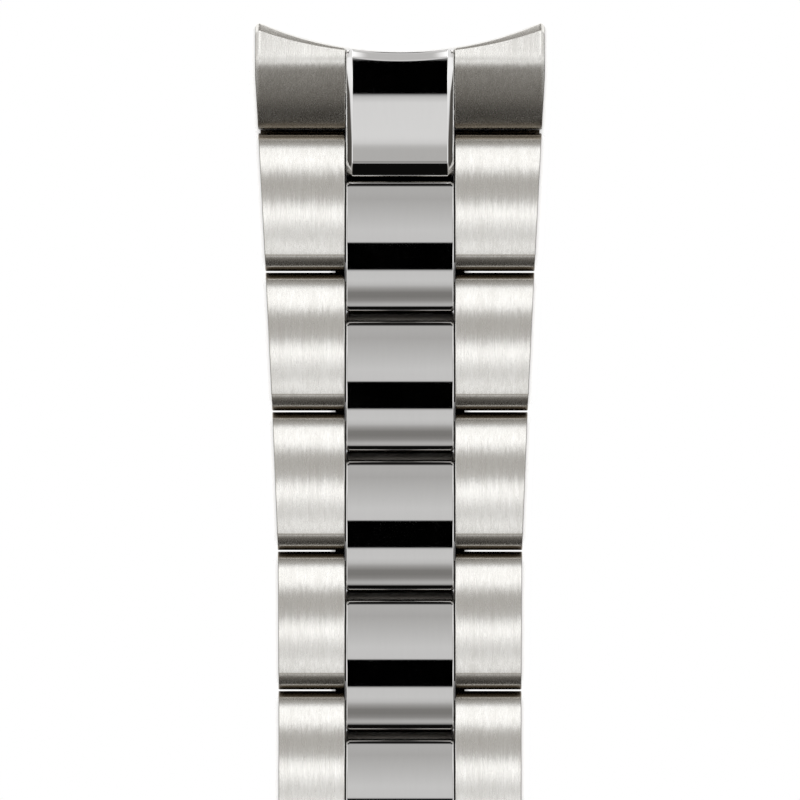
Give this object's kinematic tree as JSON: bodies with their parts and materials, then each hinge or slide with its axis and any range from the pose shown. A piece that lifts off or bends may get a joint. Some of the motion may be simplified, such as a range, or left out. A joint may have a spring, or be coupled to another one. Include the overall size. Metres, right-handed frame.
{
  "type": "watch bracelet",
  "caption": "Steel watch bracelet of three-piece rows with polished centre links, solid curved end links and a folding clasp with push buttons.",
  "frame": {"origin": "middle of the underside of the straightened bracelet with its clasp closed", "axes": "+Y along the bracelet towards the twelve o'clock end link, +Z out of the wrist, +X to the right seen from above"},
  "size_m": [0.019, 0.1386, 0.0066],
  "materials": {
    "brushed_steel": "lengthwise brushed",
    "blade_steel": "satin",
    "polished_steel": "mirror polished",
    "pin_steel": "turned",
    "spring_steel": "drawn wire"
  },
  "bodies": {
    "clasp_cover": {"clasp_cover": "brushed_steel", "cover_hinge_pin": "pin_steel", "bar_tube": "pin_steel", "bar_spring": "spring_steel", "button_spring_left": "spring_steel", "button_spring_right": "spring_steel"},
    "blade_outer": {"blade_outer": "blade_steel", "blade_hinge_pin": "pin_steel"},
    "blade_inner": {"blade_inner": "blade_steel", "catch_post": "polished_steel", "blade_end_pin": "pin_steel"},
    "adjuster": {"adjuster_link": "brushed_steel", "adjuster_pin": "pin_steel"},
    "push_button_left": {"push_button_left": "polished_steel"},
    "push_button_right": {"push_button_right": "polished_steel"},
    "bar_tip_left": {"bar_tip_left": "pin_steel"},
    "bar_tip_right": {"bar_tip_right": "pin_steel"},
    "link_12_1": {"link_12_1_outer_left": "brushed_steel", "link_12_1_outer_right": "brushed_steel", "link_12_1_center": "polished_steel", "link_12_1_pins": "pin_steel"},
    "link_12_2": {"link_12_2_outer_left": "brushed_steel", "link_12_2_outer_right": "brushed_steel", "link_12_2_center": "polished_steel", "link_12_2_pins": "pin_steel"},
    "link_12_3": {"link_12_3_outer_left": "brushed_steel", "link_12_3_outer_right": "brushed_steel", "link_12_3_center": "polished_steel", "link_12_3_pins": "pin_steel"},
    "link_12_4": {"link_12_4_outer_left": "brushed_steel", "link_12_4_outer_right": "brushed_steel", "link_12_4_center": "polished_steel", "link_12_4_pins": "pin_steel"},
    "link_12_5": {"link_12_5_outer_left": "brushed_steel", "link_12_5_outer_right": "brushed_steel", "link_12_5_center": "polished_steel", "link_12_5_pins": "pin_steel"},
    "end_link_12": {"end_link_12_body": "brushed_steel", "end_link_12_center": "polished_steel", "end_link_12_pin": "pin_steel"},
    "link_6_1": {"link_6_1_outer_left": "brushed_steel", "link_6_1_outer_right": "brushed_steel", "link_6_1_center": "polished_steel", "link_6_1_pins": "pin_steel"},
    "link_6_2": {"link_6_2_outer_left": "brushed_steel", "link_6_2_outer_right": "brushed_steel", "link_6_2_center": "polished_steel", "link_6_2_pins": "pin_steel"},
    "link_6_3": {"link_6_3_outer_left": "brushed_steel", "link_6_3_outer_right": "brushed_steel", "link_6_3_center": "polished_steel", "link_6_3_pins": "pin_steel"},
    "link_6_4": {"link_6_4_outer_left": "brushed_steel", "link_6_4_outer_right": "brushed_steel", "link_6_4_center": "polished_steel", "link_6_4_pins": "pin_steel"},
    "end_link_6": {"end_link_6_body": "brushed_steel", "end_link_6_center": "polished_steel", "end_link_6_pin": "pin_steel"}
  },
  "joints": [
    {"name": "clasp_opening", "type": "hinge", "parent": "clasp_cover", "child": "blade_outer", "pos_m": [0, 0.00727, 0.00345], "axis": [1, 0, 0], "range_deg": [0, 120]},
    {"name": "blade_unfolding", "type": "hinge", "parent": "blade_outer", "child": "blade_inner", "pos_m": [0, -0.01514, 0.0027], "axis": [-1, 0, 0], "range_deg": [0, 120]},
    {"name": "clasp_to_link_12_5", "type": "hinge", "parent": "blade_inner", "child": "link_12_5", "pos_m": [0, 0.01512, 0.00135], "axis": [-1, 0, 0], "range_deg": [-4, 40]},
    {"name": "clasp_adjuster", "type": "hinge", "parent": "clasp_cover", "child": "adjuster", "pos_m": [0, -0.02072, 0.00203], "axis": [1, 0, 0], "range_deg": [-1, 40]},
    {"name": "adjuster_to_link_6_4", "type": "hinge", "parent": "adjuster", "child": "link_6_4", "pos_m": [0, -0.02426, 0.00135], "axis": [1, 0, 0], "range_deg": [-4, 40]},
    {"name": "link_12_4_hinge", "type": "hinge", "parent": "link_12_5", "child": "link_12_4", "pos_m": [0, 0.02426, 0.00135], "axis": [-1, 0, 0], "range_deg": [-12, 40]},
    {"name": "link_12_3_hinge", "type": "hinge", "parent": "link_12_4", "child": "link_12_3", "pos_m": [0, 0.0334, 0.00135], "axis": [-1, 0, 0], "range_deg": [-12, 40]},
    {"name": "link_12_2_hinge", "type": "hinge", "parent": "link_12_3", "child": "link_12_2", "pos_m": [0, 0.04254, 0.00135], "axis": [-1, 0, 0], "range_deg": [-12, 40]},
    {"name": "link_12_1_hinge", "type": "hinge", "parent": "link_12_2", "child": "link_12_1", "pos_m": [0, 0.05168, 0.00135], "axis": [-1, 0, 0], "range_deg": [-12, 40]},
    {"name": "end_link_12_hinge", "type": "hinge", "parent": "link_12_1", "child": "end_link_12", "pos_m": [0, 0.06082, 0.00135], "axis": [-1, 0, 0], "range_deg": [-12, 40]},
    {"name": "link_6_3_hinge", "type": "hinge", "parent": "link_6_4", "child": "link_6_3", "pos_m": [0, -0.0334, 0.00135], "axis": [1, 0, 0], "range_deg": [-12, 40]},
    {"name": "link_6_2_hinge", "type": "hinge", "parent": "link_6_3", "child": "link_6_2", "pos_m": [0, -0.04254, 0.00135], "axis": [1, 0, 0], "range_deg": [-12, 40]},
    {"name": "link_6_1_hinge", "type": "hinge", "parent": "link_6_2", "child": "link_6_1", "pos_m": [0, -0.05168, 0.00135], "axis": [1, 0, 0], "range_deg": [-12, 40]},
    {"name": "end_link_6_hinge", "type": "hinge", "parent": "link_6_1", "child": "end_link_6", "pos_m": [0, -0.06082, 0.00135], "axis": [1, 0, 0], "range_deg": [-12, 40]},
    {"name": "push_button_left_press", "type": "slide", "parent": "clasp_cover", "child": "push_button_left", "axis": [1, 0, 0], "range_m": [0, 0.0006], "stiffness_N_per_m": 800, "springref_m": -0.0005, "deforming": ["button_spring_left"]},
    {"name": "push_button_right_press", "type": "slide", "parent": "clasp_cover", "child": "push_button_right", "axis": [-1, 0, 0], "range_m": [0, 0.0006], "stiffness_N_per_m": 800, "springref_m": -0.0005, "deforming": ["button_spring_right"]},
    {"name": "bar_tip_left_press", "type": "slide", "parent": "clasp_cover", "child": "bar_tip_left", "axis": [1, 0, 0], "range_m": [0, 0.0008], "stiffness_N_per_m": 400, "springref_m": -0.001, "deforming": ["bar_spring"]},
    {"name": "bar_tip_right_press", "type": "slide", "parent": "clasp_cover", "child": "bar_tip_right", "axis": [-1, 0, 0], "range_m": [0, 0.0008], "stiffness_N_per_m": 400, "springref_m": -0.001}
  ],
  "couplings": [
    {"joint": "blade_unfolding", "follows": "clasp_opening", "ratio": 1}
  ]
}
